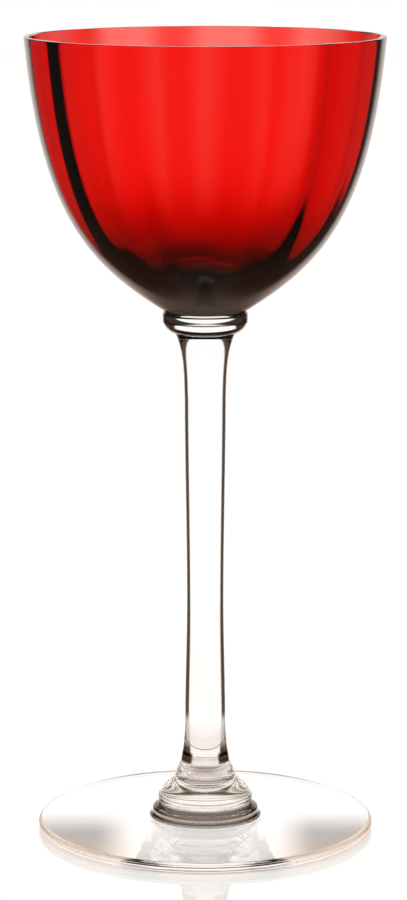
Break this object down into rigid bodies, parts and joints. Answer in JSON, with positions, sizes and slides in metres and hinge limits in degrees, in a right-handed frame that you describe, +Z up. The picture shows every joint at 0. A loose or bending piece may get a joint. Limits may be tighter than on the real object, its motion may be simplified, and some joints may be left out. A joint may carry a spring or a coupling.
{
  "type": "hock glass",
  "caption": "Tall hock wine glass: fluted ruby glass bowl on a clear beaded collar, long clear stem, stepped base knop and thin round foot.",
  "frame": {"origin": "middle of the foot's flat underside, on the table", "axes": "+Z up along the glass's axis, from the foot to the rim; the glass is turned about Z, and one ridge between two flutes stands 10.8 degrees from -Y towards +X"},
  "size_m": [0.0842, 0.0842, 0.19],
  "materials": {
    "ruby_glass": "fire-polished blown ruby glass, clear right through, colour deeper where the wall is thick",
    "clear_glass": "fire-polished clear lead crystal, smooth all over"
  },
  "bodies": {
    "root": {"foot": "clear_glass", "footing_ring": "clear_glass", "knop": "clear_glass", "stem_ring": "clear_glass", "stem": "clear_glass", "collar": "clear_glass", "ruby_bowl": "ruby_glass"}
  },
  "joints": []
}
